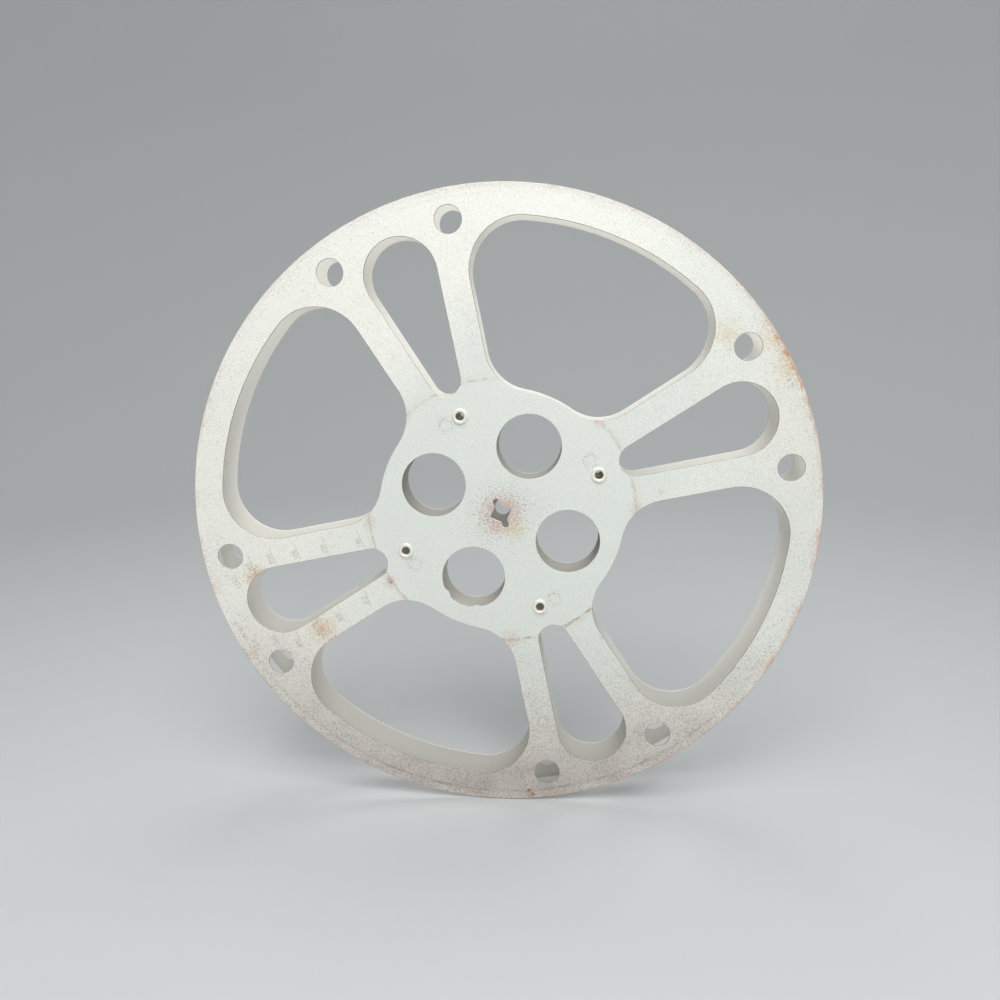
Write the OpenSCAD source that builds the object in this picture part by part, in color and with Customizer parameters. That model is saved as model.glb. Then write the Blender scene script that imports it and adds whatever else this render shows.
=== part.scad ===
// Cine film reel of pressed sheet steel, standing on its rim.
// The spindle axis runs along Y, the front flange faces -Y and Z is up.
// The origin is on the spindle axis, half way between the two flanges.

/* [Flanges] */
// Outside diameter of both flanges
flange_d = 311.15; // [270:0.05:360]
// Clear gap between the flanges at the core, where the film is wound
film_gap = 16.4; // [14:0.1:40]
// Thickness of the flange sheet
sheet_t = 0.9; // [0.6:0.05:1.5]
// How far a flange leans outward between the hub and the lip
dish = 0.7; // [0:0.05:2]
// Turn of the spokes to the left of upright, in degrees
stand_turn = 21.95; // [0:0.05:90]

/* [Rim] */
// Width of the ring outside the windows
ring_w = 14.2; // [10:0.1:20]
// Width of the flared lip at the edge
lip_w = 4.4; // [2:0.1:7]
// How far the lip stands outward
lip_rise = 0.6; // [0:0.05:1.5]
// Diameter of the rim holes
rim_hole_d = 12.9; // [6:0.1:15]
// Distance from the flange's edge to the middle of a rim hole
rim_hole_inset = 14.1; // [12:0.1:17]
// Angle between a rim hole and the middle of its spoke, in degrees
rim_hole_angle = 12.55; // [11:0.05:14]

/* [Spokes] */
// Width of each of a spoke's two arms
arm_w = 14.15; // [10:0.05:18]
// Radius of the outer end of the slot in a spoke
slot_big_r = 17.7; // [14:0.1:19]
// Radius of the inner end of the slot in a spoke
slot_small_r = 7.8; // [5:0.1:9]
// Distance from the core band out to the slot's inner tip
slot_tip_gap = 2.8; // [1:0.1:10]
// Radius of a window's two outer corners
window_outer_r = 24.2; // [12:0.1:26]
// Radius of a window's two inner corners
window_inner_r = 22.9; // [10:0.1:24]

/* [Hub] */
// How far the hub's edge in the windows stands out past the core band
hub_edge = 1; // [0.2:0.1:3]
// Flat of the hub between the core band and the bend from which the flange leans outward
bend_gap = 6.2; // [2:0.1:10]
// Diameter of the finger holes in the hub
hub_hole_d = 31.8; // [20:0.1:33]
// Distance from the outside of the core band in to the edge of a finger hole
hub_hole_inset = 8.25; // [6:0.05:12]

/* [Spindle] */
// Side of the square hole in the front flange
square_hole = 8.1; // [6:0.05:10]
// Diameter of the round hole in the rear flange
round_hole_d = 8.1; // [6:0.05:10]
// Width of the two keyways of the square hole
key_w = 3.2; // [2:0.1:4]
// Distance from the axis to the end of a keyway
key_reach = 7.75; // [7.2:0.05:9]

/* [Core] */
// Outside diameter of the core band
core_d = 120.6; // [110:0.1:150]
// Thickness of the core band's sheet
core_t = 0.8; // [0.5:0.05:1.2]
// Width of the ears that hold the eyelets
ear_w = 25; // [18:0.5:30]
// How far an ear reaches in from the outside of the core band
ear_len = 15.3; // [13:0.1:18]
// Radius of an ear's two inner corners
ear_corner_r = 5; // [2:0.1:8]
// Band left beside each end of the slot for the film's end
film_slot_bridge = 1.05; // [0.6:0.05:4]
// Width of the slot for the film's end
film_slot_w = 3.2; // [2:0.1:6]
// Gap at the seam where the band's ends meet
seam_gap = 0.4; // [0.2:0.1:1.5]

/* [Eyelets] */
// Distance from the outside of the core band in to the middle of an eyelet
eyelet_inset = 8.3; // [6:0.1:9]
// Inside diameter of an eyelet
eyelet_bore_d = 3.9; // [2.5:0.05:4.5]
// Wall of an eyelet's shank
eyelet_wall = 0.45; // [0.3:0.05:0.6]
// Diameter of the rolled head on the flange
eyelet_head_d = 7.8; // [6.4:0.05:9]
// Diameter of the rolled end on the ear
eyelet_set_d = 7.2; // [6.4:0.05:8.5]
// Clearance round an eyelet's shank
eyelet_clear = 0.05; // [0.02:0.01:0.2]

/* [Hidden] */
$fn = 96;

spokes = 4;
pitch = 360 / spokes;
paint = [0.80, 0.83, 0.80];
core_paint = [0.62, 0.63, 0.61];
plated = [0.86, 0.86, 0.84];

// Spare length with which a cut runs past the faces
past = 1;
// Depth by which a line or an arc that touches a round corner is let into it, so that the two cross
let_in = 0.005;

// Heights from the middle of the reel, outward along the spindle
hub_in = film_gap / 2;
hub_out = hub_in + sheet_t;
rim_in = hub_in + dish;
lip_in = rim_in + lip_rise;
cut_h = lip_in + sheet_t + past;

// Radii from the spindle axis
flange_r = flange_d / 2;
ring_r = flange_r - ring_w;
lip_r = flange_r - lip_w;
core_r = core_d / 2;
hub_r = core_r + hub_edge;
bend_r = core_r + bend_gap;
slot_tip = core_r + slot_tip_gap;
eyelet_out = core_r - eyelet_inset;
ear_inner = core_r - ear_len;
hub_hole_out = core_r - hub_hole_inset - hub_hole_d / 2;

// A slot's two ends, the lean of its straight sides and the spoke's edge beyond them
slot_big_out = ring_r - slot_big_r;
slot_small_out = slot_tip + slot_small_r;
lean = asin((slot_big_r - slot_small_r) / (slot_big_out - slot_small_out));
edge_off = slot_big_r - slot_big_out * sin(lean) + arm_w;

// A window's right edge, seen with the window's middle straight up:
// edge_in points into the window and edge_up runs outward along the edge
edge_in = [cos(180 - pitch / 2 + lean), sin(180 - pitch / 2 + lean)];
edge_up = [cos(90 - pitch / 2 + lean), sin(90 - pitch / 2 + lean)];

// The point at a given distance from the edge and from the axis
function from_edge(gap, out) =
    edge_in * (edge_off + gap) + edge_up * sqrt(out ^ 2 - (edge_off + gap) ^ 2);
function flip(p) = [-p.x, p.y];
function both(p) = [p, flip(p)];

corner_out = from_edge(window_outer_r, ring_r - window_outer_r);
corner_in = from_edge(window_inner_r, hub_r + window_inner_r);
edge_top = corner_out - edge_in * (window_outer_r - let_in);
edge_foot = corner_in - edge_in * (window_inner_r - let_in);

// Turn the reel's own plan upright: plan x is right, plan y is up, height is to the front
module upright() {
    rotate([90, 0, 0]) rotate([0, 0, stand_turn]) children();
}

module rear() {
    mirror([0, 0, 1]) children();
}

module on_each_spoke() {
    for (i = [0 : spokes - 1]) rotate([0, 0, i * pitch]) children();
}

module between_spokes() {
    rotate([0, 0, pitch / 2]) on_each_spoke() children();
}

// Window between two spokes, with true arcs at its corners, ring and hub
module window_plan() {
    difference() {
        union() {
            for (p = both(corner_out)) translate(p) circle(r = window_outer_r);
            for (p = both(corner_in)) translate(p) circle(r = window_inner_r);
            polygon([edge_top, edge_foot, corner_in, [0, 0], flip(corner_in),
                     flip(edge_foot), flip(edge_top), flip(corner_out), corner_out]);
            intersection() {
                circle(r = ring_r - let_in);
                polygon([corner_out, 2 * corner_out, 2 * flip(corner_out), flip(corner_out)]);
            }
        }
        circle(r = hub_r + let_in);
    }
}

// Teardrop slot along a spoke: two round ends and their common tangents
module slot_plan() {
    tangent = [cos(lean), -sin(lean)];
    big = [0, slot_big_out] + (slot_big_r - let_in) * tangent;
    small = [0, slot_small_out] + (slot_small_r - let_in) * tangent;
    translate([0, slot_big_out]) circle(r = slot_big_r);
    translate([0, slot_small_out]) circle(r = slot_small_r);
    polygon([big, small, flip(small), flip(big)]);
}

// Square spindle hole, a corner up, with a round-ended keyway up and down
module square_hole_plan() {
    key_end = key_reach - key_w / 2;
    rotate(45) square(square_hole, center = true);
    square([key_w, 2 * key_end], center = true);
    for (side = [-1, 1]) translate([0, side * key_end]) circle(d = key_w);
}

module round_hole_plan() {
    circle(d = round_hole_d);
}

// Half section of a flange: flat hub, web that leans outward and flared lip with a rounded edge
module flange_section() {
    edge_mid = flange_r - sheet_t / 2;
    polygon([[0, hub_in], [bend_r, hub_in], [lip_r, rim_in], [edge_mid, lip_in],
             [edge_mid, lip_in + sheet_t], [lip_r, rim_in + sheet_t], [bend_r, hub_out], [0, hub_out]]);
    translate([edge_mid, lip_in + sheet_t / 2]) circle(d = sheet_t);
}

module eyelet_holes() {
    hole_d = eyelet_bore_d + 2 * (eyelet_wall + eyelet_clear);
    on_each_spoke() translate([0, eyelet_out, 0]) cylinder(d = hole_d, h = cut_h);
}

// One flange, facing the front, with the spindle hole that is given as its child
module flange() {
    difference() {
        rotate_extrude() flange_section();
        between_spokes() linear_extrude(cut_h) window_plan();
        on_each_spoke() linear_extrude(cut_h) slot_plan();
        on_each_spoke()
            for (side = [-1, 1]) rotate([0, 0, side * rim_hole_angle])
                translate([0, flange_r - rim_hole_inset, 0]) cylinder(d = rim_hole_d, h = cut_h);
        between_spokes() translate([0, hub_hole_out, 0]) cylinder(d = hub_hole_d, h = cut_h);
        eyelet_holes();
        linear_extrude(cut_h) children();
    }
}

// Ear that is turned in from the band's end and lies against the inside of the hub
module ear_plan() {
    inner_w = ear_w - 2 * ear_corner_r;
    for (side = [-1, 1])
        translate([side * inner_w / 2, ear_inner + ear_corner_r]) circle(r = ear_corner_r);
    translate([-inner_w / 2, ear_inner]) square([inner_w, core_r - ear_inner]);
    translate([-ear_w / 2, ear_inner + ear_corner_r])
        square([ear_w, core_r - ear_inner - ear_corner_r]);
}

module ears() {
    on_each_spoke() translate([0, 0, hub_in - core_t]) linear_extrude(core_t) intersection() {
        ear_plan();
        circle(r = core_r);
    }
}

// Section of an eyelet: shank, rolled head on the hub and rolled end on the ear
module eyelet_section() {
    bore_r = eyelet_bore_d / 2;
    grip = sheet_t + core_t;
    head_w = eyelet_head_d / 2 - bore_r;
    set_w = eyelet_set_d / 2 - bore_r;
    translate([bore_r, -grip]) square([eyelet_wall, grip]);
    translate([bore_r, 0]) intersection() {
        translate([head_w / 2, 0]) circle(d = head_w);
        square(head_w);
    }
    translate([bore_r, -grip]) intersection() {
        translate([set_w / 2, 0]) circle(d = set_w);
        translate([0, -set_w]) square(set_w);
    }
}

module eyelet(number) {
    rotate([0, 0, (number - 1) * pitch]) translate([0, eyelet_out, hub_out])
        rotate_extrude() eyelet_section();
}

module front_flange() {
    color(paint) upright() flange() square_hole_plan();
}

module rear_flange() {
    color(paint) upright() rear() flange() round_hole_plan();
}

module core_band() {
    film_slot_len = 2 * (hub_in - film_slot_bridge);
    color(core_paint) upright() difference() {
        union() {
            difference() {
                cylinder(r = core_r, h = 2 * hub_in, center = true);
                cylinder(r = core_r - core_t, h = 2 * hub_in + past, center = true);
            }
            ears();
            rear() ears();
        }
        eyelet_holes();
        rear() eyelet_holes();
        rotate([0, 0, -pitch / 2]) translate([0, core_r, 0])
            cube([film_slot_w, 2 * core_t + past, film_slot_len], center = true);
        rotate([0, 0, 180 - pitch / 2]) translate([0, core_r, 0])
            cube([seam_gap, 2 * core_t + past, 2 * hub_in + past], center = true);
    }
}

module front_eyelet(number) {
    color(plated) upright() eyelet(number);
}

module rear_eyelet(number) {
    color(plated) upright() rear() eyelet(number);
}

front_flange();
rear_flange();
core_band();
for (n = [1 : spokes]) {
    front_eyelet(n);
    rear_eyelet(n);
}
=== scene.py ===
"""Finish of a cine film reel: enamelled flanges, core band, plated eyelets, footage scale and studio."""

import math
from types import SimpleNamespace

import bmesh
import bpy
from mathutils import Matrix, Quaternion, Vector


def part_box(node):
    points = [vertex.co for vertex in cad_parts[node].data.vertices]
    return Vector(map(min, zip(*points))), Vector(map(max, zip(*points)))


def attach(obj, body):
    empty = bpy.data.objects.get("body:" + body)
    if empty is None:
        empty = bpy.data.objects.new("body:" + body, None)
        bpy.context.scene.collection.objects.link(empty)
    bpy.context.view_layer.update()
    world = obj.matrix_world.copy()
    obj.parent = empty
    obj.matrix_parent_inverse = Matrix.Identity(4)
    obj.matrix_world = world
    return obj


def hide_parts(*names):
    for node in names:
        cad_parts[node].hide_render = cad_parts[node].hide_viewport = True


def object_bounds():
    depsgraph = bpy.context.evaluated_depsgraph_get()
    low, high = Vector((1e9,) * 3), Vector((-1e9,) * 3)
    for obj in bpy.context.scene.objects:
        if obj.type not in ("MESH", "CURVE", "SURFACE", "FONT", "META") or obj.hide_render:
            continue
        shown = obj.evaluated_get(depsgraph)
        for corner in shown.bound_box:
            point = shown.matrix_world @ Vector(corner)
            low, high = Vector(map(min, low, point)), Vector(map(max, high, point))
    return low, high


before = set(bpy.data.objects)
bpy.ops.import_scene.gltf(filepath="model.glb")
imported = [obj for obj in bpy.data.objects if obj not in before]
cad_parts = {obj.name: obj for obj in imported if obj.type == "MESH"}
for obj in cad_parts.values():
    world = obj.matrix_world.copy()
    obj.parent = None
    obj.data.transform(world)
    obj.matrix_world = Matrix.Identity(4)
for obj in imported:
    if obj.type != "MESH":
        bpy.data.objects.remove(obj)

bl_info = {
    "name": "Cine film reel",
    "version": (1, 0, 0),
    "blender": (4, 5, 0),
    "location": "View3D > Sidebar > Film reel",
    "description": "Dresses the packed film reel with worn enamel, plating, printed scale and a studio",
    "category": "Object",
}

MM = 0.001
MM_PER_FOOT = 304.8
QUARTER_TURN = math.radians(90)
CAD_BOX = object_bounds()
BODY = "root"

# Vertices nearer than MERGE are one, faces that turn by less than FLAT_TURN are one flat face, and edges that
# turn by CUT_TURN or more are cut edges of the sheet
MERGE = 0.001 * MM
FLAT_TURN = math.radians(0.2)
CUT_TURN = math.radians(40)

# The reel, read from the frame: the front flange lies at -Y, and both hubs lie on the core band
SHEET_T = 0.9 * MM
SPOKES = 4
CORE_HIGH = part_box("core_band")[1]
CORE_R = CORE_HIGH.z
HUB_FACE = CORE_HIGH.y + SHEET_T
EYELETS = {
    side: [f"{side}_eyelet_{number}" for number in range(1, SPOKES + 1)] for side in ("front", "rear")
}
EYELET_LOW, EYELET_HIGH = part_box("front_eyelet_1")
EYELET_MIDDLE = (EYELET_LOW + EYELET_HIGH) / 2
EYELET_OUT = math.hypot(EYELET_MIDDLE.x, EYELET_MIDDLE.z)

# The first spoke leans to the left of upright, through the first eyelet
SPOKE_TURN = math.atan2(-EYELET_MIDDLE.x, EYELET_MIDDLE.z)
SPOKE_PITCH = math.tau / SPOKES

# Lines round a flange, in millimetres from the spindle: the bend round the hub, the crease of the lip and the
# rim. From the bend to the crease the sheet leans outward, by DISH in all
BEND_R = 66.5
RIM_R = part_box("front_flange")[1].x / MM
LIP_WIDTH = 4.4
LIP_R = RIM_R - LIP_WIDTH
DISH = 0.7
WEB_LEAN = DISH / (LIP_R - BEND_R)

# Finger holes in the hub, half way between the spokes, and where the one at the lower left lies
FINGER_HOLE_R = 15.9 * MM
FINGER_HOLE_OUT = 36.15 * MM
LOWER_LEFT_TURN = math.radians(225) + SPOKE_TURN

# Weld marks, one beside each eyelet, as (x, z) in millimetres
WELD_OUT = 51.3
WELD_LEAD = math.radians(9.2)
WELD_TURNS = [QUARTER_TURN + SPOKE_TURN + WELD_LEAD + SPOKE_PITCH * number for number in range(SPOKES)]
WELD_SPOTS = [(WELD_OUT * math.cos(turn), WELD_OUT * math.sin(turn)) for turn in WELD_TURNS]

# Stains by kind, seen from the front. A spot is (x, z, reach, strength): three lengths in millimetres, and
# a share
FRONT_STAINS = {
    "tan_stain": (
        (134, 70, 10, 0.55), (126, 83, 10, 0.5), (106, 86, 11, 0.6), (-93, -62, 12, 0.7),
        (-128, -33, 9, 0.7), (7, -8, 8, 0.7), (130, -76, 8, 0.3), (78, 11, 3.5, 0.5), (8, -79, 3.5, 0.5),
        (-100, -57, 7, 0.4),
    ),
    "pink_wear": (
        (-66, -5, 5, 0.5), (-57, -36, 5, 0.65), (-47, 49, 6, 0.5), (4, -66, 7, 0.55), (48, 47, 5, 0.8),
        (67, 3, 6, 0.45), (-2, -8, 4, 0.6), (-150, -40, 9, 0.35), (-131, -75, 5, 0.45),
    ),
    "rust": (
        (-97, -57, 6, 0.45), (-93, -62, 6, 0.5), (-88, -68, 5, 0.5), (-131, -35, 4, 0.5),
        (-127, -32, 5, 0.6), (14, -152, 2.5, 0.8),
    ),
    "old_rust_and_shade": ((13.5, -150.5, 2, 0.9), (15.5, -152.5, 2, 0.9), (-57, -36, 2, 0.6)),
    "grime": (
        (-139.3, -59, 1.8, 0.45), (-137.3, -63, 1.8, 0.5), (-135.3, -67, 1.8, 0.45),
        (134.5, 67.5, 1.6, 0.35), (136, 64.5, 1.6, 0.4), (137.5, 61.5, 1.6, 0.4),
    ),
}
REAR_STAINS = {
    "tan_stain": ((-118, 96, 10, 0.5), (84, -116, 9, 0.5), (-70, 26, 8, 0.5), (60, 80, 7, 0.4)),
    "pink_wear": (
        (-4, 4, 8, 0.5), (-47, 49, 6, 0.5), (48, 46, 6, 0.5), (4, -66, 7, 0.5), (-66, -8, 5, 0.5),
    ),
    "rust": (
        (84, -118, 5, 0.65), (88, -113, 4, 0.55), (-70, 26, 4, 0.55), (-74, 22, 3, 0.5), (102, 60, 4, 0.5),
    ),
    "old_rust_and_shade": ((20, 150, 2.5, 0.7), (66, -10, 2, 0.6)),
    "grime": ((-128, 60, 3.5, 0.6), (40, 128, 3, 0.5)),
}

# Stretches of the rim that have rusted, in the same form
FRONT_RIM_RUST = (
    (124, 90, 9, 0.6), (128, 83, 9, 0.9), (132.5, 76.5, 10, 1.0), (136, 69.5, 9, 0.95), (140, 62, 9, 0.8),
    (143, 55, 9, 0.6), (149, 44, 16, 0.4), (154, 20, 16, 0.4), (154, -14, 22, 0.3), (136, -76, 14, 0.7),
    (122, -96, 12, 0.4), (-10, 155, 40, 0.25), (14, -155, 10, 0.45), (-152, -34, 16, 0.3),
)
REAR_RIM_RUST = ((-120, 99, 22, 1.0), (90, 127, 18, 0.6), (-60, -143, 26, 0.5), (140, -66, 20, 0.6))

# Dents in the edge of the front flange's lower left finger hole: the direction from the hole's middle in
# degrees, and the depth in millimetres
HOLE_DENTS = ((212, 1.0), (274, 1.25))


def linear(code):
    """Turn an sRGB hex code into linear red, green and blue."""
    shares = [int(code[i:i + 2], 16) / 255 for i in (0, 2, 4)]
    return [s / 12.92 if s <= 0.04045 else ((s + 0.055) / 1.055) ** 2.4 for s in shares]


class ReelSizes(bpy.types.PropertyGroup):
    """Sizes of the finish."""

    edge_round: bpy.props.FloatProperty(
        name="Edge rounding", description="Rounding of the sheet's cut edges",
        default=0.3 * MM, unit="LENGTH", precision=5)
    dent_width: bpy.props.FloatProperty(
        name="Dent width", description="Half the width of a dent in the edge of a finger hole",
        default=3.4 * MM, unit="LENGTH", precision=5)
    weld_mark: bpy.props.FloatProperty(
        name="Weld mark", description="Diameter of the ring that a spot weld leaves",
        default=6.0 * MM, unit="LENGTH", precision=5)
    eyelet_bore: bpy.props.FloatProperty(
        name="Eyelet bore", description="Inside diameter of an eyelet",
        default=3.9 * MM, unit="LENGTH", precision=5)
    eyelet_wall: bpy.props.FloatProperty(
        name="Eyelet wall", description="Wall of an eyelet's shank",
        default=0.45 * MM, unit="LENGTH", precision=5)
    eyelet_set: bpy.props.FloatProperty(
        name="Eyelet set end", description="Diameter of the rolled end inside the core",
        default=7.2 * MM, unit="LENGTH", precision=5)
    eyelet_grip: bpy.props.FloatProperty(
        name="Eyelet grip", description="Sheet that an eyelet holds: the flange and the core's ear",
        default=1.7 * MM, unit="LENGTH", precision=5)
    film_thickness: bpy.props.FloatProperty(
        name="Film thickness", description="Thickness of the film that the footage scale counts",
        default=0.15 * MM, unit="LENGTH", precision=5)
    tick_length: bpy.props.FloatProperty(
        name="Tick length", description="Length of a tick of the footage scale",
        default=9.6 * MM, unit="LENGTH", precision=5)
    digit_size: bpy.props.FloatProperty(
        name="Digit size", description="Font size of the numbers of the footage scale",
        default=3.5 * MM, unit="LENGTH", precision=5)


class ReelColours(bpy.types.PropertyGroup):
    """Colours of the finish and of the studio."""

    paint: bpy.props.FloatVectorProperty(
        name="Enamel", description="Pale grey-green enamel",
        default=linear("dadfd8"), subtype="COLOR")
    # Also painted light: the lighter, warmer enamel towards the left of the reel.
    paint_warm_and_light: bpy.props.FloatVectorProperty(
        name="Yellowed enamel", description="Enamel that has yellowed towards the rim",
        default=linear("e9e9e0"), subtype="COLOR")
    paint_inside: bpy.props.FloatVectorProperty(
        name="Inner enamel", description="Clean, thinly sprayed enamel between the flanges",
        default=linear("e6e5dd"), subtype="COLOR")
    # Grey of rubbed enamel on the core band, and painted shade on the enamel between the flanges.
    grey_and_shade: bpy.props.FloatVectorProperty(
        name="Thin enamel", description="Grey enamel between the flanges, where it is thin, rubbed or dusty",
        default=linear("8c8b84"), subtype="COLOR")
    # Also painted shade, at the right of the flanges' rings.
    dirt_film_and_shade: bpy.props.FloatVectorProperty(
        name="Dirt film", description="Pinkish-grey film at the foot of the reel and on the eyelets",
        default=linear("a3958d"), subtype="COLOR")
    grime: bpy.props.FloatVectorProperty(
        name="Grime", description="Dark specks and grain in the enamel",
        default=linear("74706a"), subtype="COLOR")
    # Grime along the cut edges, made darker by painted shade.
    edge_grime_and_shade: bpy.props.FloatVectorProperty(
        name="Edge line", description="Grime along the cut edges",
        default=linear("735a46"), subtype="COLOR")
    # Also a painted highlight on the spindle hole's edges.
    bare_edge_glint: bpy.props.FloatVectorProperty(
        name="Bare edge", description="Polished edge of the spindle hole",
        default=linear("f0e4de"), subtype="COLOR")
    bend_dirt: bpy.props.FloatVectorProperty(
        name="Bend dirt", description="Brown dirt in the bend round the hub",
        default=linear("8d7768"), subtype="COLOR")
    pink_wear: bpy.props.FloatVectorProperty(
        name="Worn enamel", description="Pinkish primer where the enamel is rubbed",
        default=linear("c39f90"), subtype="COLOR")
    tan_stain: bpy.props.FloatVectorProperty(
        name="Tan stain", description="Yellowish stain round rust",
        default=linear("cdb88e"), subtype="COLOR")
    rust: bpy.props.FloatVectorProperty(
        name="Rust", description="Fresh orange rust",
        default=linear("b88266"), subtype="COLOR")
    # Also painted shade, on the walls of the eyelets' bores.
    old_rust_and_shade: bpy.props.FloatVectorProperty(
        name="Old rust", description="Dark brown rust",
        default=linear("6b5142"), subtype="COLOR")
    plating: bpy.props.FloatVectorProperty(
        name="Plating", description="Dulled tin plating",
        default=linear("f4f0e4"), subtype="COLOR")
    ink: bpy.props.FloatVectorProperty(
        name="Ink", description="Faded grey printing ink",
        default=linear("95928a"), subtype="COLOR")
    floor: bpy.props.FloatVectorProperty(
        name="Floor", description="Pale studio paper",
        default=linear("c4c6c7"), subtype="COLOR")
    air: bpy.props.FloatVectorProperty(
        name="Air", description="Pale light from all round",
        default=linear("f2f3f4"), subtype="COLOR")


def add(tree, kind, inputs=None, **settings):
    """Add a node: settings are its properties, and inputs its sockets by name or number, linked or set.

    Map Range: 0 is its value, 1 and 2 are the ends of what it reads, and 3 and 4 the ends of what it gives.
    Mix: 0 is its share, and it mixes the numbers at 2 and 3 or the colours at 6 and 7.
    """
    node = tree.nodes.new(kind)
    for name, value in settings.items():
        setattr(node, name, value)
    for key, value in (inputs or {}).items():
        if isinstance(value, bpy.types.Node):
            value = next(socket for socket in value.outputs if socket.enabled)
        if isinstance(value, bpy.types.NodeSocket):
            tree.links.new(value, node.inputs[key])
        else:
            node.inputs[key].default_value = value
    return node


def new_material(name):
    """An empty node material, with its tree and its output node."""
    material = bpy.data.materials.new(name)
    material.use_nodes = True
    tree = material.node_tree
    tree.nodes.clear()
    return material, tree, add(tree, "ShaderNodeOutputMaterial")


def rgba(colour):
    """A colour with full opacity, as sockets take it."""
    return (*colour, 1.0)


def enamel_ground(tree, outside, shift):
    """What the enamel's layers share: places in millimetres, the way a face looks, and noises.

    outside is -1 or 1, the way along Y that the flange's outer face looks. shift moves the noises.
    """
    coords = add(tree, "ShaderNodeTexCoord")
    place = coords.outputs["Object"]
    mm = add(tree, "ShaderNodeMapping", {"Vector": place, "Scale": (1 / MM,) * 3, "Location": shift})
    flat = add(tree, "ShaderNodeMapping", {"Vector": place, "Scale": (1 / MM, 0, 1 / MM)})
    sides = add(tree, "ShaderNodeSeparateXYZ", {0: flat})
    radius = add(tree, "ShaderNodeVectorMath", {0: flat}, operation="LENGTH")
    facing = add(tree, "ShaderNodeSeparateXYZ", {0: coords.outputs["Normal"]}).outputs["Y"]
    outward = add(tree, "ShaderNodeMath", {0: facing, 1: outside}, operation="MULTIPLY")

    # Streaks lie along the rim. Their length is in millimetres
    streak_length = 7
    stretch = (RIM_R / streak_length,) * 3
    around = add(tree, "ShaderNodeVectorMath", {0: flat}, operation="NORMALIZE")
    along = add(tree, "ShaderNodeVectorMath", {0: around, 1: stretch}, operation="MULTIPLY")
    beside = add(tree, "ShaderNodeCombineXYZ", {"Y": radius})
    streak_lie = add(tree, "ShaderNodeVectorMath", {0: along, 1: beside}, operation="ADD")

    # Noises: the places that they read, the size of their grains in millimetres, their detail and roughness
    kinds = {
        "grain": (mm, 0.65, 2.0, 0.7),
        "grit": (mm, 1.0, 3.0, 0.7),
        "streak": (streak_lie, 1.0, 4.0, 0.8),
        "ragged": (mm, 3.0, 4.0, 0.7),
        "drift": (mm, 4.0, 4.0, 0.7),
        "blotch": (mm, 16.0, 3.0, 0.5),
        "broad": (mm, 60.0, 3.0, 0.5),
    }
    noises = {
        name: add(tree, "ShaderNodeTexNoise", {
            "Vector": places, "Scale": 1 / size, "Detail": detail, "Roughness": roughness})
        for name, (places, size, detail, roughness) in kinds.items()
    }

    # Places that stray by up to sway_reach millimetres give ragged outlines
    sway_reach = 2.5
    sway = add(tree, "ShaderNodeVectorMath", {
        0: noises.pop("drift").outputs["Color"], 1: (2 * sway_reach, 0, 2 * sway_reach),
        2: (-sway_reach, 0, -sway_reach)}, operation="MULTIPLY_ADD")
    return SimpleNamespace(
        mm=mm,
        flat=flat,
        ragged_flat=add(tree, "ShaderNodeVectorMath", {0: flat, 1: sway}, operation="ADD"),
        radius=radius,
        outward=outward,
        aside=sides.outputs["X"],
        height=sides.outputs["Z"],
        across=add(tree, "ShaderNodeMath", {0: facing}, operation="ABSOLUTE"),
        outer_face=add(tree, "ShaderNodeMapRange", {0: outward, 1: 0.2, 2: 0.7, 3: 0.0, 4: 1.0}),
        inner_face=add(tree, "ShaderNodeMapRange", {0: outward, 1: -0.2, 2: -0.7, 3: 0.0, 4: 1.0}),
        open_face=add(tree, "ShaderNodeMapRange", {0: outward, 1: -0.7, 2: -0.2, 3: 0.0, 4: 1.0}),
        **noises,
    )


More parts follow.
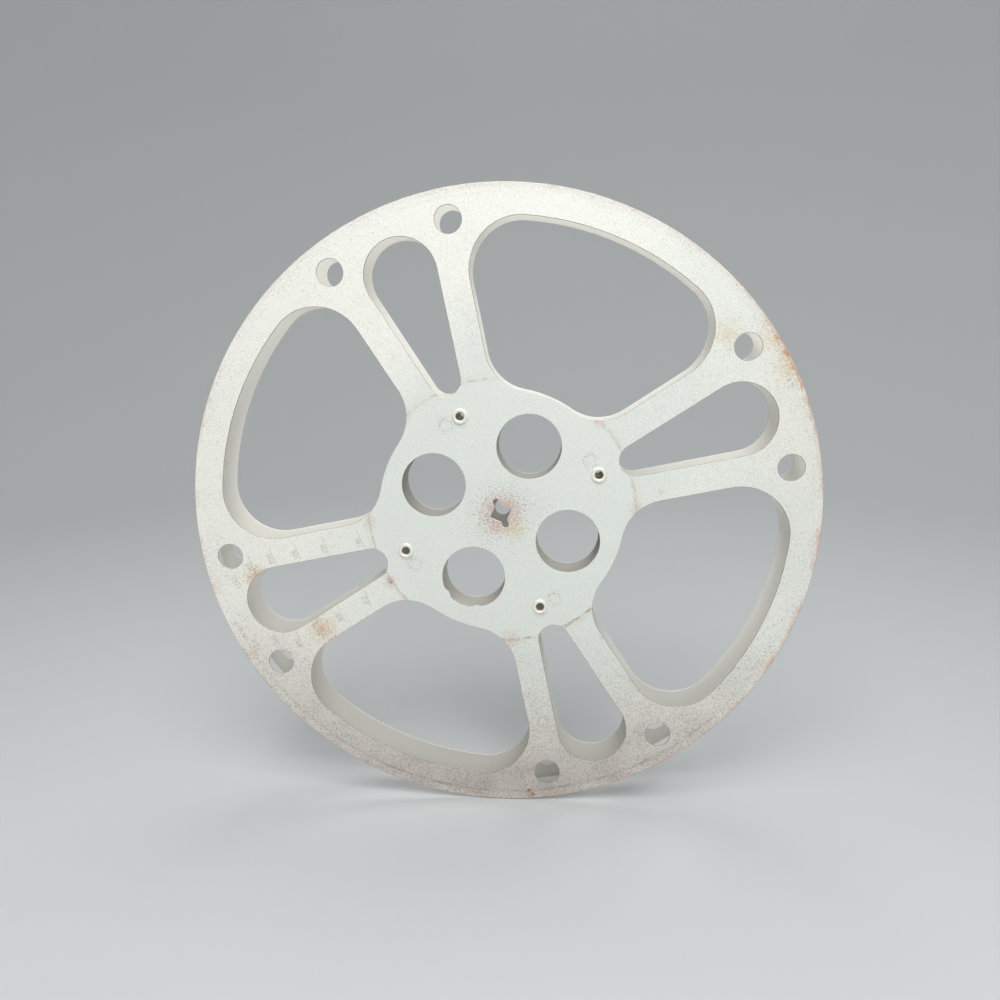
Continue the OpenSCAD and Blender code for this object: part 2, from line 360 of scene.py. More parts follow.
def enamel_tone(tree, ground, colours):
    """Clean enamel: grey-green at the hub, warmer towards the rim and finely mottled, with painted light at
    the left.

    Between the flanges it isn't mottled, and has painted shade within the core, at the foot and at the top.
    """
    outwards = add(tree, "ShaderNodeMapRange", {0: ground.radius, 1: 62.0, 2: 135.0, 3: -0.25, 4: 0.55})
    # Painted light: the enamel is lighter and warmer towards the left, as if lit more from that side.
    painted_light_left = add(tree, "ShaderNodeMapRange", {0: ground.aside, 1: 110.0, 2: -110.0, 3: -0.3, 4: 0.37})
    placed = add(tree, "ShaderNodeMath", {0: outwards, 1: painted_light_left}, operation="ADD")
    warmth_and_light = add(tree, "ShaderNodeMath", {0: ground.broad, 1: placed}, operation="ADD")
    warm_and_lit = add(tree, "ShaderNodeMapRange", {0: warmth_and_light, 1: 0.4, 2: 0.95, 3: 0.0, 4: 1.0})
    clean = add(tree, "ShaderNodeMix", {
        0: warm_and_lit, 6: rgba(colours.paint), 7: rgba(colours.paint_warm_and_light)}, data_type="RGBA")
    rimward = add(tree, "ShaderNodeMapRange", {0: ground.radius, 1: 115.0, 2: 145.0, 3: 0.28, 4: 0.42})
    fine = add(tree, "ShaderNodeMix", {0: 0.5, 2: ground.grit, 3: ground.grain})
    mottle = add(tree, "ShaderNodeMapRange", {0: fine, 1: 0.67, 2: 0.33, 3: 0.0, 4: 1.0})
    tone = add(tree, "ShaderNodeMix", {
        0: rimward, 6: clean, 7: mottle}, data_type="RGBA", blend_type="SOFT_LIGHT")
    # Painted shade between the flanges: grey within the core, towards the foot and at the top of the inner
    # face.
    core_shade = add(tree, "ShaderNodeMapRange", {
        0: ground.radius, 1: CORE_R / MM, 2: CORE_R / MM - 5, 3: 0.0, 4: 0.37})
    low = add(tree, "ShaderNodeMapRange", {0: ground.height, 1: -10.0, 2: -110.0, 3: 0.0, 4: 0.37})
    high = add(tree, "ShaderNodeMapRange", {0: ground.height, 1: 100.0, 2: 140.0, 3: 0.0, 4: 0.13})
    end_shade = add(tree, "ShaderNodeMath", {0: low, 1: high}, operation="MAXIMUM")
    inner_shade = add(tree, "ShaderNodeMath", {0: core_shade, 1: end_shade}, operation="MAXIMUM")
    inside = add(tree, "ShaderNodeMix", {
        0: inner_shade, 6: rgba(colours.paint_inside), 7: rgba(colours.grey_and_shade)}, data_type="RGBA")
    return add(tree, "ShaderNodeMix", {0: ground.inner_face, 6: tone, 7: inside}, data_type="RGBA")


def film_and_shade_share(tree, ground):
    """Cloudy film of dirt, thicker towards the rim, at the foot of the reel, and a little painted shade at
    its right.
    """
    low = add(tree, "ShaderNodeMapRange", {0: ground.height, 1: -45.0, 2: -150.0, 3: 0.0, 4: 0.69})
    # At the right the same colour is painted shade: the ring darker, as if less lit from that side.
    right = add(tree, "ShaderNodeMapRange", {0: ground.aside, 1: 80.0, 2: 150.0, 3: 0.0, 4: 0.12})
    rightwards = add(tree, "ShaderNodeMapRange", {0: ground.aside, 1: 40.0, 2: 130.0, 3: 1.0, 4: 0.8})
    sided = add(tree, "ShaderNodeMath", {0: low, 1: rightwards}, operation="MULTIPLY")
    dirt_and_shade = add(tree, "ShaderNodeMath", {0: sided, 1: right}, operation="MAXIMUM")
    on_ring = add(tree, "ShaderNodeMapRange", {0: ground.radius, 1: 70.0, 2: 135.0, 3: 0.3, 4: 1.0})
    cloud = add(tree, "ShaderNodeMapRange", {0: ground.blotch, 1: 0.3, 2: 0.7, 3: 0.85, 4: 1.05})
    film = add(tree, "ShaderNodeMath", {0: dirt_and_shade, 1: on_ring}, operation="MULTIPLY")
    clouded = add(tree, "ShaderNodeMath", {0: film, 1: cloud}, operation="MULTIPLY")
    return add(tree, "ShaderNodeMath", {0: clouded, 1: ground.open_face}, operation="MULTIPLY")


def grain_share(tree, ground):
    """Fine grain of the sprayed enamel, 0.4 mm on the reel and drawn at 0.65 mm to show."""
    low = add(tree, "ShaderNodeMapRange", {0: ground.height, 1: -60.0, 2: -150.0, 3: 0.2, 4: 0.75})
    near = add(tree, "ShaderNodeMapRange", {0: ground.radius, 1: 32.0, 2: 6.0, 3: 0.0, 4: 0.22})
    most = add(tree, "ShaderNodeMath", {0: low, 1: near}, operation="ADD")
    cloudy = add(tree, "ShaderNodeMath", {
        0: ground.blotch, 1: 0.1, 2: ground.grain}, operation="MULTIPLY_ADD")
    dark = add(tree, "ShaderNodeMapRange", {0: cloudy, 1: 0.5, 2: 0.78, 3: 0.0, 4: 1.0})
    share = add(tree, "ShaderNodeMath", {0: dark, 1: most}, operation="MULTIPLY")
    return add(tree, "ShaderNodeMath", {0: share, 1: ground.outer_face}, operation="MULTIPLY")


def speck_share(tree, ground):
    """Dark specks of 1 mm in clouds, denser at the foot of the reel, at the rim and round the spindle."""
    low = add(tree, "ShaderNodeMapRange", {0: ground.height, 1: 0.0, 2: -150.0, 3: 0.0, 4: 0.11})
    near = add(tree, "ShaderNodeMapRange", {0: ground.radius, 1: 28.0, 2: 6.0, 3: 0.0, 4: 0.2})
    rimward = add(tree, "ShaderNodeMapRange", {0: ground.radius, 1: 110.0, 2: 152.0, 3: 0.0, 4: 0.07})
    dense = add(tree, "ShaderNodeMath", {0: low, 1: near}, operation="ADD")
    denser = add(tree, "ShaderNodeMath", {0: dense, 1: rimward}, operation="ADD")
    cloudy = add(tree, "ShaderNodeMath", {0: ground.blotch, 1: 0.16, 2: denser}, operation="MULTIPLY_ADD")
    level = add(tree, "ShaderNodeMath", {0: ground.grit, 1: cloudy}, operation="ADD")
    share = add(tree, "ShaderNodeMapRange", {0: level, 1: 0.74, 2: 0.92, 3: 0.0, 4: 0.6})
    return add(tree, "ShaderNodeMath", {0: share, 1: ground.outer_face}, operation="MULTIPLY")


def edge_shade_share(tree, ground):
    """Grime and painted shade along the outer edges of the cut sheet: on their rounding, and a little on the
    cut itself.
    """
    turned = add(tree, "ShaderNodeMapRange", {0: ground.outward, 1: 0.93, 2: 0.8, 3: 0.0, 4: 1.0})
    outer = add(tree, "ShaderNodeMapRange", {0: ground.outward, 1: -0.1, 2: 0.3, 3: 0.0, 4: 1.0})
    broken = add(tree, "ShaderNodeMapRange", {0: ground.ragged, 1: 0.35, 2: 0.6, 3: 0.55, 4: 0.95})
    clean_hub = add(tree, "ShaderNodeMapRange", {0: ground.radius, 1: 62.0, 2: 72.0, 3: 0.35, 4: 1.0})
    # A dark line on the rounded edges: grime, and painted shade for the shadow at the edge.
    edge = add(tree, "ShaderNodeMath", {0: turned, 1: outer}, operation="MULTIPLY")
    shade_and_grime = add(tree, "ShaderNodeMath", {0: edge, 1: broken}, operation="MULTIPLY")
    return add(tree, "ShaderNodeMath", {0: shade_and_grime, 1: clean_hub}, operation="MULTIPLY")


def spindle_shares(tree, ground):
    """Grains of rub round the spindle hole, to about 14 mm from its axis, and the hole's polished edges, on
    which a highlight is painted.
    """
    wander = add(tree, "ShaderNodeMath", {0: ground.ragged, 1: 12.0, 2: -6.0}, operation="MULTIPLY_ADD")
    wandering = add(tree, "ShaderNodeMath", {0: ground.radius, 1: wander}, operation="ADD")
    close = add(tree, "ShaderNodeMapRange", {0: wandering, 1: 14.0, 2: 5.0, 3: 0.0, 4: 0.33})
    level = add(tree, "ShaderNodeMath", {0: close, 1: ground.grit}, operation="ADD")
    worn = add(tree, "ShaderNodeMapRange", {0: level, 1: 0.54, 2: 0.92, 3: 0.0, 4: 0.75})
    near = add(tree, "ShaderNodeMapRange", {0: close, 1: 0.0, 2: 0.08, 3: 0.0, 4: 1.0})
    rubbed = add(tree, "ShaderNodeMath", {0: worn, 1: near}, operation="MULTIPLY")
    rub = add(tree, "ShaderNodeMath", {0: rubbed, 1: ground.outer_face}, operation="MULTIPLY")
    # The hole's cut edges: polished bare metal, painted near white as a highlight.
    hole = add(tree, "ShaderNodeMapRange", {0: ground.radius, 1: 10.0, 2: 9.0, 3: 0.0, 4: 0.9})
    cut = add(tree, "ShaderNodeMapRange", {0: ground.across, 1: 0.93, 2: 0.8, 3: 0.0, 4: 1.0})
    return rub, add(tree, "ShaderNodeMath", {0: hole, 1: cut}, operation="MULTIPLY")


def line_share(tree, ground, radius, width, most):
    """Dirt in a pressed line round the flange: a narrow ragged line, broken along its length.

    most is the share that a whole line has, a number or a socket.
    """
    wander = add(tree, "ShaderNodeMath", {0: ground.grit, 1: 1.2, 2: -0.6}, operation="MULTIPLY_ADD")
    wandering = add(tree, "ShaderNodeMath", {0: ground.radius, 1: wander}, operation="ADD")
    aside = add(tree, "ShaderNodeMath", {0: wandering, 1: radius}, operation="SUBTRACT")
    away = add(tree, "ShaderNodeMath", {0: aside}, operation="ABSOLUTE")
    line = add(tree, "ShaderNodeMapRange", {0: away, 1: width, 2: width * 0.2, 3: 0.0, 4: most})
    broken = add(tree, "ShaderNodeMapRange", {0: ground.streak, 1: 0.42, 2: 0.64, 3: 0.0, 4: 1.0})
    share = add(tree, "ShaderNodeMath", {0: line, 1: broken}, operation="MULTIPLY")
    return add(tree, "ShaderNodeMath", {0: share, 1: ground.outer_face}, operation="MULTIPLY")


def near_share(tree, ground, spots):
    """How near a place is to a spot: the spot's strength at its middle, and nothing past its reach."""
    share = None
    for x, z, reach, strength in spots:
        away = add(tree, "ShaderNodeVectorMath", {
            0: ground.ragged_flat, 1: (x, 0, z)}, operation="DISTANCE")
        near = add(tree, "ShaderNodeMapRange", {0: away, 1: reach, 2: 0.0, 3: 0.0, 4: strength})
        share = near if share is None else add(
            tree, "ShaderNodeMath", {0: share, 1: near}, operation="MAXIMUM")
    return share


def stain_share(tree, ground, spots):
    """Stains of one kind: patches that break up into grains towards their edge."""
    near = near_share(tree, ground, spots)
    level = add(tree, "ShaderNodeMath", {0: near, 1: 0.5, 2: ground.grit}, operation="MULTIPLY_ADD")
    grains = add(tree, "ShaderNodeMapRange", {0: level, 1: 0.54, 2: 0.92, 3: 0.0, 4: 0.68})
    inside = add(tree, "ShaderNodeMapRange", {0: near, 1: 0.0, 2: 0.15, 3: 0.0, 4: 1.0})
    share = add(tree, "ShaderNodeMath", {0: grains, 1: inside}, operation="MULTIPLY")
    return add(tree, "ShaderNodeMath", {0: share, 1: ground.open_face}, operation="MULTIPLY")


def weld_share(tree, ground):
    """Specks in a ring round each weld mark."""
    nearest = None
    for x, z in WELD_SPOTS:
        away = add(tree, "ShaderNodeVectorMath", {0: ground.flat, 1: (x, 0, z)}, operation="DISTANCE")
        nearest = away if nearest is None else add(
            tree, "ShaderNodeMath", {0: nearest, 1: away}, operation="MINIMUM")
    mark_r = bpy.context.scene.reel_sizes.weld_mark / 2 / MM
    aside = add(tree, "ShaderNodeMath", {0: nearest, 1: mark_r}, operation="SUBTRACT")
    ring = add(tree, "ShaderNodeMath", {0: aside}, operation="ABSOLUTE")
    near = add(tree, "ShaderNodeMapRange", {0: ring, 1: 2.2, 2: 0.2, 3: 0.0, 4: 0.4})
    grains = add(tree, "ShaderNodeMapRange", {0: ground.grit, 1: 0.48, 2: 0.66, 3: 0.0, 4: 1.0})
    share = add(tree, "ShaderNodeMath", {0: near, 1: grains}, operation="MULTIPLY")
    return add(tree, "ShaderNodeMath", {0: share, 1: ground.outer_face}, operation="MULTIPLY")


def rim_shares(tree, ground, rim_rust):
    """Pink wear along the very edge of the rim, in stretches, and beside it a tan fringe and streaks of rust.

    The fringe and the rust are bands, whose inner and outer ends are measured from the rim.
    """
    wander = add(tree, "ShaderNodeMath", {0: ground.ragged, 1: 4.0, 2: -2.0}, operation="MULTIPLY_ADD")
    wandering = add(tree, "ShaderNodeMath", {0: ground.radius, 1: wander}, operation="ADD")
    speckled = add(tree, "ShaderNodeMix", {0: 0.45, 2: ground.streak, 3: ground.grain})
    edge = add(tree, "ShaderNodeMapRange", {
        0: wandering, 1: RIM_R - 4.0, 2: RIM_R - 0.2, 3: 0.0, 4: 0.35})
    worn = add(tree, "ShaderNodeMath", {0: edge, 1: speckled}, operation="ADD")
    grains = add(tree, "ShaderNodeMapRange", {0: worn, 1: 0.6, 2: 0.85, 3: 0.0, 4: 0.8})
    stretch = add(tree, "ShaderNodeMapRange", {0: ground.blotch, 1: 0.38, 2: 0.62, 3: 0.1, 4: 1.0})
    right = add(tree, "ShaderNodeMapRange", {0: ground.aside, 1: -60.0, 2: 100.0, 3: 0.35, 4: 1.0})
    lower = add(tree, "ShaderNodeMapRange", {0: ground.height, 1: 120.0, 2: 60.0, 3: 0.45, 4: 1.0})
    stretched = add(tree, "ShaderNodeMath", {0: grains, 1: stretch}, operation="MULTIPLY")
    sided = add(tree, "ShaderNodeMath", {0: stretched, 1: right}, operation="MULTIPLY")
    wear = add(tree, "ShaderNodeMath", {0: sided, 1: lower}, operation="MULTIPLY")
    near = near_share(tree, ground, rim_rust)
    shares = [wear]
    for inner, outer, most in ((9.0, 4.0, 0.45), (5.0, 1.5, 0.9)):
        band = add(tree, "ShaderNodeMapRange", {
            0: wandering, 1: RIM_R - inner, 2: RIM_R - outer, 3: 0.0, 4: 1.0})
        rusty = add(tree, "ShaderNodeMath", {0: band, 1: near}, operation="MULTIPLY")
        level = add(tree, "ShaderNodeMath", {0: rusty, 1: 0.36, 2: speckled}, operation="MULTIPLY_ADD")
        grains = add(tree, "ShaderNodeMapRange", {0: level, 1: 0.67, 2: 0.82, 3: 0.0, 4: most})
        inside = add(tree, "ShaderNodeMapRange", {0: rusty, 1: 0.0, 2: 0.15, 3: 0.0, 4: 1.0})
        share = add(tree, "ShaderNodeMath", {0: grains, 1: inside}, operation="MULTIPLY")
        shares.append(add(tree, "ShaderNodeMath", {0: share, 1: ground.open_face}, operation="MULTIPLY"))
    return shares


def worn_enamel(name, outside, shift, stains, rim_rust):
    """Baked enamel, sprayed on pressed steel: satin pale grey-green, speckled, and warmer towards the rim.

    It is rubbed to pink primer at the spindle, with a painted highlight on the hole's edges. It has dirt in
    the pressed lines, grime and painted shade along the cut edges, and rust at the rim, where it loses its
    gloss. It has painted light towards the left, and painted shade at the right and between the flanges.
    """
    colours = bpy.context.scene.reel_colours
    material, tree, output = new_material(name)
    ground = enamel_ground(tree, outside, shift)
    specks = speck_share(tree, ground)
    rub, polish_glint = spindle_shares(tree, ground)
    stained = {kind: stain_share(tree, ground, spots) for kind, spots in stains.items()}
    rim_wear, rim_tan, rim_rusty = rim_shares(tree, ground, rim_rust)

    # Dirt in the pressed lines: radius and width, the share at an upper and at a lower height, and the colour
    pressed = (
        (BEND_R + 1.4, 2.6, (60.0, 0.2), (-60.0, 0.45), colours.tan_stain),
        (BEND_R, 1.1, (60.0, 0.4), (-60.0, 0.85), colours.bend_dirt),
        (LIP_R, 1.0, (-60.0, 0.08), (-140.0, 0.65), colours.grime),
    )
    lines = []
    for radius, width, (high, least), (low, most), colour in pressed:
        share = add(tree, "ShaderNodeMapRange", {0: ground.height, 1: high, 2: low, 3: least, 4: most})
        lines.append((line_share(tree, ground, radius, width, share), colour))

    # Layers from the lowest up, each with its share of the surface
    layers = [
        (film_and_shade_share(tree, ground), colours.dirt_film_and_shade),
        (grain_share(tree, ground), colours.grime),
        (specks, colours.grime),
        (edge_shade_share(tree, ground), colours.edge_grime_and_shade),
        (rub, colours.pink_wear),
        (polish_glint, colours.bare_edge_glint),
        *lines,
        (rim_wear, colours.pink_wear),
        (rim_tan, colours.tan_stain),
        (rim_rusty, colours.rust),
        (weld_share(tree, ground), colours.grime),
        *((share, getattr(colours, kind)) for kind, share in stained.items()),
    ]
    tone = enamel_tone(tree, ground, colours)
    for share, colour in layers:
        tone = add(tree, "ShaderNodeMix", {0: share, 6: tone, 7: rgba(colour)}, data_type="RGBA")

    # Satin gloss, dull where it is rusty; an orange peel of 1.6 mm, and pits at the specks
    rusty = add(tree, "ShaderNodeMath", {0: stained["rust"], 1: rim_rusty}, operation="MAXIMUM")
    dull = add(tree, "ShaderNodeMapRange", {0: rusty, 1: 0.0, 2: 1.0, 3: 0.48, 4: 0.85})
    peel = add(tree, "ShaderNodeTexNoise", {"Vector": ground.mm, "Scale": 1 / 1.6, "Detail": 1.0})
    relief = add(tree, "ShaderNodeMath", {0: specks, 1: -0.6, 2: peel}, operation="MULTIPLY_ADD")
    bump = add(tree, "ShaderNodeBump", {"Strength": 0.12, "Distance": 0.1 * MM, "Height": relief})
    shader = add(tree, "ShaderNodeBsdfPrincipled", {
        "Base Color": tone, "Roughness": dull, "Normal": bump, "IOR": 1.5})
    tree.links.new(shader.outputs[0], output.inputs[0])
    return material


def rubbed_core_enamel():
    """Enamel on the rolled band, rubbed by the film into fine grey streaks round the core."""
    colours = bpy.context.scene.reel_colours
    material, tree, output = new_material("rubbed_core_enamel")
    place = add(tree, "ShaderNodeTexCoord").outputs["Object"]
    along, across = 1 / (18 * MM), 1 / (0.5 * MM)
    streak_lie = add(tree, "ShaderNodeMapping", {"Vector": place, "Scale": (along, across, along)})
    streaks = add(tree, "ShaderNodeTexNoise", {"Vector": streak_lie, "Scale": 1.0, "Detail": 3.0})
    mm = add(tree, "ShaderNodeMapping", {"Vector": place, "Scale": (1 / MM,) * 3})
    specks = add(tree, "ShaderNodeTexNoise", {"Vector": mm, "Scale": 1 / 1.2, "Detail": 3.0})
    streaked = add(tree, "ShaderNodeMapRange", {0: streaks, 1: 0.3, 2: 0.7, 3: 0.2, 4: 0.55})
    specked = add(tree, "ShaderNodeMapRange", {0: specks, 1: 0.62, 2: 0.78, 3: 0.0, 4: 0.5})
    colour = add(tree, "ShaderNodeMix", {
        0: streaked, 6: rgba(colours.paint_inside), 7: rgba(colours.grey_and_shade)}, data_type="RGBA")
    colour = add(tree, "ShaderNodeMix", {0: specked, 6: colour, 7: rgba(colours.grime)}, data_type="RGBA")
    gloss = add(tree, "ShaderNodeMapRange", {0: streaks, 1: 0.3, 2: 0.7, 3: 0.55, 4: 0.36})
    bump = add(tree, "ShaderNodeBump", {"Strength": 0.1, "Distance": 0.1 * MM, "Height": streaks})
    shader = add(tree, "ShaderNodeBsdfPrincipled", {
        "Base Color": colour, "Roughness": gloss, "Normal": bump, "IOR": 1.5})
    tree.links.new(shader.outputs[0], output.inputs[0])
    return material


def dulled_tin():
    """Tin plating on rolled steel, dulled to a cream white, with dark brown in the bores: grime and painted
    shade.
    """
    colours = bpy.context.scene.reel_colours
    bore_r = bpy.context.scene.reel_sizes.eyelet_bore / 2 / MM
    material, tree, output = new_material("dulled_tin")
    place = add(tree, "ShaderNodeTexCoord").outputs["Object"]
    mm = add(tree, "ShaderNodeMapping", {"Vector": place, "Scale": (1 / MM,) * 3})
    cloud = add(tree, "ShaderNodeTexNoise", {"Vector": mm, "Scale": 1 / 1.1, "Detail": 4.0})

    # The distance from the axis of the nearest eyelet: all four lie on one circle, a quarter turn apart
    flat = add(tree, "ShaderNodeMapping", {
        "Vector": place, "Rotation": (0, SPOKE_TURN, 0), "Scale": (1 / MM, 0, 1 / MM)})
    radius = add(tree, "ShaderNodeVectorMath", {0: flat}, operation="LENGTH")
    parts = add(tree, "ShaderNodeSeparateXYZ", {0: flat})
    angle = add(tree, "ShaderNodeMath", {
        0: parts.outputs["X"], 1: parts.outputs["Z"]}, operation="ARCTAN2")
    turned = add(tree, "ShaderNodeMath", {
        0: angle, 1: SPOKE_PITCH / 2, 2: -SPOKE_PITCH / 2}, operation="WRAP")
    sideways = add(tree, "ShaderNodeMath", {0: turned, 1: EYELET_OUT / MM}, operation="MULTIPLY")
    outward = add(tree, "ShaderNodeMath", {0: radius, 1: EYELET_OUT / MM}, operation="SUBTRACT")
    spot = add(tree, "ShaderNodeCombineXYZ", {"X": sideways, "Y": outward})
    from_axis = add(tree, "ShaderNodeVectorMath", {0: spot}, operation="LENGTH")
    # Dark brown on the bore's wall: grime, and painted shade inside the bore.
    shade_and_grime = add(tree, "ShaderNodeMapRange", {
        0: from_axis, 1: bore_r + 0.15, 2: bore_r - 0.05, 3: 0.0, 4: 0.92})
    clouded = add(tree, "ShaderNodeMapRange", {0: cloud, 1: 0.55, 2: 0.8, 3: 0.0, 4: 0.3})
    colour = add(tree, "ShaderNodeMix", {
        0: clouded, 6: rgba(colours.plating), 7: rgba(colours.dirt_film_and_shade)}, data_type="RGBA")
    colour = add(tree, "ShaderNodeMix", {0: shade_and_grime, 6: colour, 7: rgba(colours.old_rust_and_shade)}, data_type="RGBA")
    gloss = add(tree, "ShaderNodeMapRange", {0: cloud, 1: 0.35, 2: 0.7, 3: 0.36, 4: 0.52})
    shader = add(tree, "ShaderNodeBsdfPrincipled", {
        "Base Color": colour, "Metallic": 0.45, "Roughness": gloss})
    tree.links.new(shader.outputs[0], output.inputs[0])
    return material


def faded_ink():
    """Grey printing ink, faded and partly worn off the enamel."""
    colours = bpy.context.scene.reel_colours
    material, tree, output = new_material("faded_ink")
    place = add(tree, "ShaderNodeTexCoord").outputs["Object"]
    mm = add(tree, "ShaderNodeMapping", {"Vector": place, "Scale": (1 / MM,) * 3})
    gaps = add(tree, "ShaderNodeTexNoise", {"Vector": mm, "Scale": 1 / 1.6, "Detail": 3.0})
    worn = add(tree, "ShaderNodeMapRange", {0: gaps, 1: 0.42, 2: 0.7, 3: 0.05, 4: 0.85})
    colour = add(tree, "ShaderNodeMix", {
        0: worn, 6: rgba(colours.ink), 7: rgba(colours.paint_warm_and_light)}, data_type="RGBA")
    shader = add(tree, "ShaderNodeBsdfPrincipled", {"Base Color": colour, "Roughness": 0.6})
    tree.links.new(shader.outputs[0], output.inputs[0])
    return material


def studio_paper():
    """Matt pale paper with a faint fibre, for the floor and the wall of the studio."""
    colours = bpy.context.scene.reel_colours
    material, tree, output = new_material("studio_paper")
    place = add(tree, "ShaderNodeTexCoord").outputs["Object"]
    fibre = add(tree, "ShaderNodeTexNoise", {"Vector": place, "Scale": 1 / (3 * MM), "Detail": 3.0})
    bump = add(tree, "ShaderNodeBump", {"Strength": 0.03, "Distance": 0.1 * MM, "Height": fibre})
    shader = add(tree, "ShaderNodeBsdfPrincipled", {
        "Base Color": rgba(colours.floor), "Roughness": 0.9, "Normal": bump})
    tree.links.new(shader.outputs[0], output.inputs[0])
    return material


def new_piece(name, bm, material, smooth=True):
    """An object at the origin from a bmesh, in one material."""
    mesh = bpy.data.meshes.new(name)
    bm.to_mesh(mesh)
    bm.free()
    mesh.materials.append(material)
    if smooth:
        mesh.shade_smooth()
    piece = bpy.data.objects.new(name, mesh)
    bpy.context.scene.collection.objects.link(piece)
    return piece


def sheet_copy(node):
    """A merged copy of a node's mesh, without the edges that cross its flat faces."""
    bm = bmesh.new()
    bm.from_mesh(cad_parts[node].data)
    bmesh.ops.remove_doubles(bm, verts=bm.verts, dist=MERGE)
    bmesh.ops.dissolve_limit(bm, angle_limit=FLAT_TURN, verts=bm.verts, edges=bm.edges)
    return bm


def finish_sheet(name, node, bm, material):
    """A sheet piece that stands for a node, with its cut edges rounded."""
    edges = [edge for edge in bm.edges if edge.calc_face_angle(0.0) >= CUT_TURN]
    bmesh.ops.bevel(
        bm, geom=edges, offset=bpy.context.scene.reel_sizes.edge_round, offset_type="OFFSET", segments=2,
        profile=0.5, affect="EDGES", clamp_overlap=True, material=-1)
    piece = new_piece(name, bm, material)
    piece.modifiers.new("flat faces", "WEIGHTED_NORMAL").keep_sharp = True
    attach(piece, BODY)
    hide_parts(node)
    return piece


class REEL_OT_flanges(bpy.types.Operator):
    """Make the two enamelled flanges, with their dents and weld marks"""

    bl_idname = "reel.flanges"
    bl_label = "Flanges"

    def execute(self, context):
        sizes = context.scene.reel_sizes

        # Side, the way that its outer face looks, the shift of its noises, its stains and its rim rust
        sides = (
            ("front", -1, (0, 0, 0), FRONT_STAINS, FRONT_RIM_RUST),
            ("rear", 1, (410, 70, 230), REAR_STAINS, REAR_RIM_RUST),
        )
        for side, outside, shift, stains, rim_rust in sides:
            enamel = worn_enamel(f"worn_enamel_{side}", outside, shift, stains, rim_rust)
            bm = sheet_copy(f"{side}_flange")
            if side == "front":
                for direction, depth in HOLE_DENTS:
                    self.dent_hole(bm, math.radians(direction), depth * MM, sizes.dent_width)
            finish_sheet(f"{side}_flange_sheet", f"{side}_flange", bm, enamel)
            self.mark_welds(sizes, side, outside, enamel)
        return {"FINISHED"}

    def dent_hole(self, bm, direction, depth, half_width):
        """Push the edge of the lower left finger hole inwards, in a smooth bump."""
        tolerance = 0.15 * MM
        middle = Vector((
            FINGER_HOLE_OUT * math.cos(LOWER_LEFT_TURN), FINGER_HOLE_OUT * math.sin(LOWER_LEFT_TURN)))
        towards = Vector((math.cos(direction), math.sin(direction)))

        def bump(vert):
            """How far a vertex is pushed, as a share: none away from the hole's edge."""
            out = Vector((vert.co.x, vert.co.z)) - middle
            if abs(out.length - FINGER_HOLE_R) > tolerance:
                return 0
            aside = abs(out.angle(towards)) * FINGER_HOLE_R / half_width
            return (1 + math.cos(math.pi * aside)) / 2 if aside < 1 else 0

        edges = [
            edge for edge in bm.edges
            if any(bump(vert) for vert in edge.verts) and edge.verts[0].co.y == edge.verts[1].co.y]
        bmesh.ops.subdivide_edges(bm, edges=edges, cuts=5, use_grid_fill=True)
        for vert in bm.verts:
            inwards = bump(vert) * depth * (middle - Vector((vert.co.x, vert.co.z))).normalized()
            vert.co += Vector((inwards.x, 0, inwards.y))

    def mark_welds(self, sizes, side, outside, enamel):
        """Raise a low ring on the hub at each spot weld. It leans, so that one side fades into the hub."""
        rise, sunk, half_wide = 0.015 * MM, 0.04 * MM, 0.6 * MM
        lean = Vector((-0.004, 0.004))
        out = sizes.weld_mark / 2
        bm = bmesh.new()
        for x, z in WELD_SPOTS:
            section = ((out - half_wide, -sunk), (out, rise), (out + half_wide, -sunk))
            verts = [
                bm.verts.new((x * MM + across, outside * (HUB_FACE + up), z * MM)) for across, up in section]
            edges = [bm.edges.new((verts[i - 1], verts[i])) for i in range(len(verts))]
            bmesh.ops.spin(
                bm, geom=verts + edges, cent=(x * MM, 0, z * MM), axis=(0, 1, 0), angle=math.tau, steps=40,
                use_merge=True)
            for vert in bm.verts:
                aside = Vector((vert.co.x - x * MM, vert.co.z - z * MM))
                if aside.length < out + 2 * half_wide:
                    vert.co.y += outside * aside.dot(lean)
        bmesh.ops.remove_doubles(bm, verts=bm.verts, dist=MERGE)
        bmesh.ops.recalc_face_normals(bm, faces=bm.faces)
        piece = new_piece(f"{side}_weld_marks", bm, enamel)
        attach(piece, BODY)


class REEL_OT_core(bpy.types.Operator):
    """Make the rolled band that the film is wound on"""

    bl_idname = "reel.core"
    bl_label = "Core"

    def execute(self, context):
        finish_sheet("core_drum", "core_band", sheet_copy("core_band"), rubbed_core_enamel())
        return {"FINISHED"}


